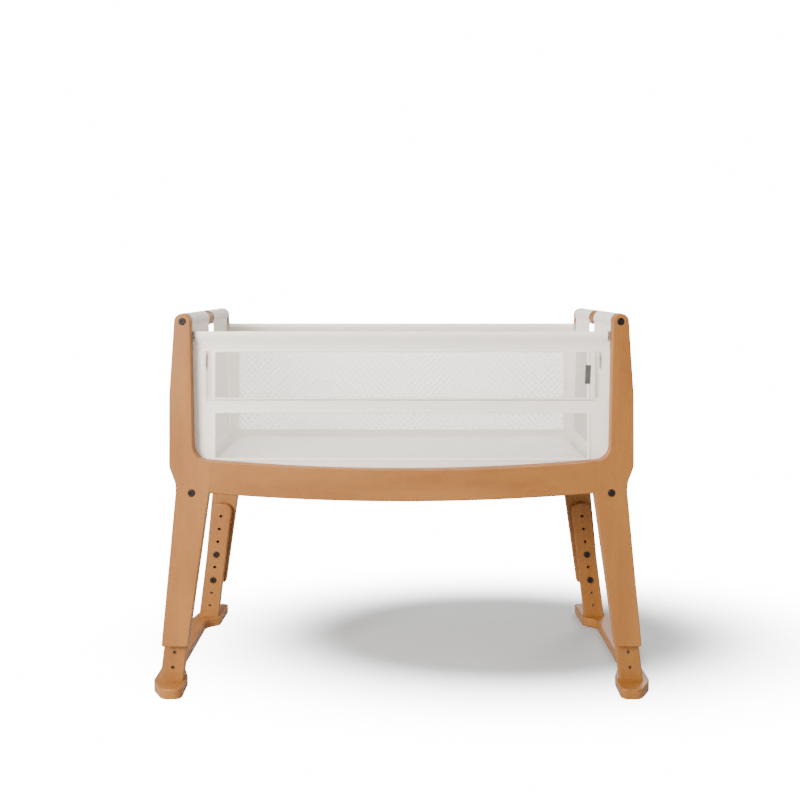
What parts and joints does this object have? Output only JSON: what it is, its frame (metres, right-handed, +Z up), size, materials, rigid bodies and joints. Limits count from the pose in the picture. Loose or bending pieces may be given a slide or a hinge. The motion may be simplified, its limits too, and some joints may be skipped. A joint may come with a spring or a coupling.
{
  "type": "bedside bassinet on stand",
  "caption": "Bedside bassinet: a mesh-sided fabric cot hung in a curved wooden stand, with a zipped fold-down front and height-adjusting legs on foot runners.",
  "frame": {"origin": "on the floor, at the middle of the length and of the foot runners", "axes": "+X to the right along the bassinet, seen from the drop side; +Y from the drop side to the back; +Z up"},
  "size_m": [0.977, 0.54, 0.7437],
  "materials": {
    "beech": "satin",
    "black_steel": "satin",
    "bright_steel": "satin",
    "felt": "matte",
    "cotton": "matte",
    "sleeve_cotton": "matte",
    "net": "matte",
    "aluminium": "satin",
    "zip_coil": "satin",
    "dark_plastic": "matte",
    "tag_weave": "matte",
    "board": "matte",
    "mattress_cloth": "matte",
    "foam": "matte"
  },
  "bodies": {
    "stand": {"left_front_post": "beech", "right_front_post": "beech", "left_rear_post": "beech", "right_rear_post": "beech", "left_end_rod": "beech", "right_end_rod": "beech", "left_cross_rail": "beech", "right_cross_rail": "beech", "front_rail": "beech", "rear_rail": "beech", "rail_dowels": "beech", "end_rod_bolts": "black_steel", "cross_rail_bolts": "black_steel", "left_leg_bolts": "black_steel", "right_leg_bolts": "black_steel", "rod_inserts": "bright_steel", "leg_inserts": "bright_steel", "front_lower_panel": "cotton", "rear_panel": "cotton", "left_corner_panel": "cotton", "right_corner_panel": "cotton", "left_end_wall": "cotton", "right_end_wall": "cotton", "floor_sling": "cotton", "left_rod_sleeves": "sleeve_cotton", "right_rod_sleeves": "sleeve_cotton", "cross_rail_sleeves": "sleeve_cotton", "front_lower_mesh": "net", "rear_mesh": "net", "left_end_mesh": "net", "right_end_mesh": "net", "rear_top_tube": "aluminium", "left_corner_coil": "zip_coil", "right_corner_coil": "zip_coil", "tube_clips": "dark_plastic", "base_board": "board"},
    "left_foot": {"left_foot_runner": "beech", "left_front_extension_leg": "beech", "left_rear_extension_leg": "beech", "left_runner_screws": "bright_steel", "left_floor_pads": "felt"},
    "right_foot": {"right_foot_runner": "beech", "right_front_extension_leg": "beech", "right_rear_extension_leg": "beech", "right_runner_screws": "bright_steel", "right_floor_pads": "felt"},
    "drop_side": {"drop_panel": "cotton", "drop_panel_mesh": "net", "front_top_tube": "aluminium", "drop_panel_coils": "zip_coil", "blank_tag": "tag_weave"},
    "left_slider": {"left_zip_slider": "bright_steel"},
    "right_slider": {"right_zip_slider": "bright_steel"},
    "left_pull": {"left_zip_pull": "bright_steel"},
    "right_pull": {"right_zip_pull": "bright_steel"},
    "mattress": {"mattress_cover": "mattress_cloth", "mattress_core": "foam"}
  },
  "joints": [
    {"name": "left_foot_height", "type": "slide", "parent": "stand", "child": "left_foot", "axis": [-0.1219, 0, -0.9925], "range_m": [-0.06, 0.09], "deforming": ["left_leg_bolts"]},
    {"name": "right_foot_height", "type": "slide", "parent": "stand", "child": "right_foot", "axis": [0.1219, 0, -0.9925], "range_m": [-0.06, 0.09], "deforming": ["right_leg_bolts"]},
    {"name": "drop_side_fold", "type": "hinge", "parent": "stand", "child": "drop_side", "pos_m": [0, -0.2247, 0.5721], "axis": [1, 0, 0], "range_deg": [0, 165]},
    {"name": "left_zip", "type": "slide", "parent": "stand", "child": "left_slider", "axis": [0, 0, -1], "range_m": [0, 0.078]},
    {"name": "right_zip", "type": "slide", "parent": "stand", "child": "right_slider", "axis": [0, 0, -1], "range_m": [0, 0.078]},
    {"name": "left_pull_swing", "type": "hinge", "parent": "left_slider", "child": "left_pull", "pos_m": [-0.3855, -0.2308, 0.659], "axis": [-1, 0, 0], "range_deg": [0, 150]},
    {"name": "right_pull_swing", "type": "hinge", "parent": "right_slider", "child": "right_pull", "pos_m": [0.3855, -0.2308, 0.659], "axis": [-1, 0, 0], "range_deg": [0, 150]},
    {"name": "mattress_lift", "type": "slide", "parent": "stand", "child": "mattress", "axis": [0, 0, 1], "range_m": [0, 0.34]}
  ]
}
